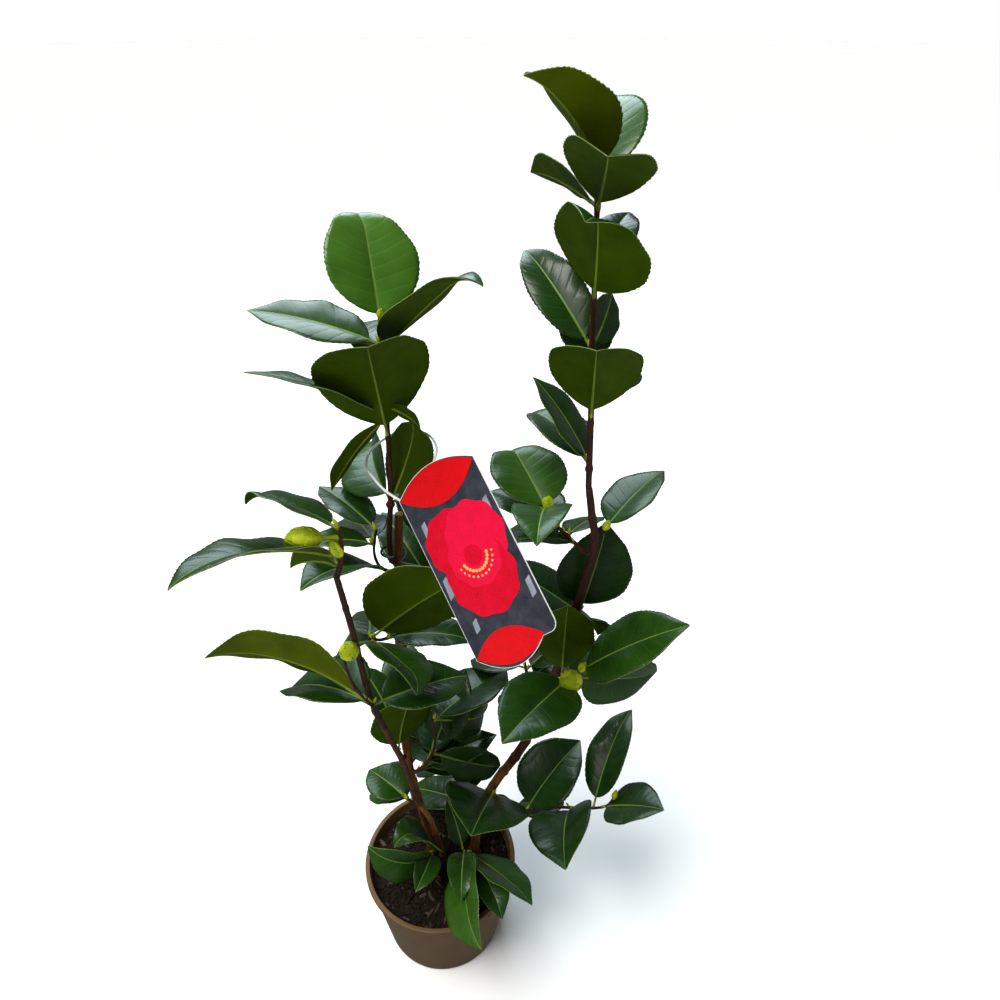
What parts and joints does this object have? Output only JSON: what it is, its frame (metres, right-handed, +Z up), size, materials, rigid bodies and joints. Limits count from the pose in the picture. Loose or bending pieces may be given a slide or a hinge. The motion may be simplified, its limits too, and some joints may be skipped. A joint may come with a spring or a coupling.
{
  "type": "potted camellia shrub",
  "caption": "Young camellia shrub in a round nursery pot: three slim stems, leafy shoots with glossy leaves and flower buds, and a picture card hung on a strap.",
  "frame": {"origin": "middle of the pot's flat underside", "axes": "+Z up, +X to the viewer's right, -Y towards the viewer"},
  "size_m": [0.3721, 0.3286, 0.8825],
  "materials": {
    "pot": "taupe brown thin moulded plastic, slightly satin",
    "compost": "dark moist compost with small chips",
    "bark": "smooth orange brown bark with fine fissures",
    "foliage": "glossy dark green leaves with olive undersides, yellow green buds",
    "label_card": "printed gloss card with red end pieces and a plain flower motif",
    "strap": "white plastic",
    "tie_wire": "dark green coated wire"
  },
  "bodies": {
    "root": {"pot": "pot", "soil": "compost", "stem_left": "bark", "stem_centre": "bark", "stem_right": "bark", "crown_centre": "foliage", "centre_side": "foliage", "left_spray": "foliage", "left_low": "foliage", "left_foot": "foliage", "centre_front": "foliage", "centre_low": "foliage", "centre_left": "foliage", "crown_right": "foliage", "right_inner": "foliage", "right_mid": "foliage", "right_back": "foliage", "right_low": "foliage", "right_outer": "foliage", "right_foot": "foliage", "base_right": "foliage", "base_left": "foliage", "back_centre": "foliage", "back_right": "foliage", "back_left": "foliage", "back_low": "foliage", "label": "label_card", "label_strap": "strap", "tie": "tie_wire"}
  },
  "joints": []
}
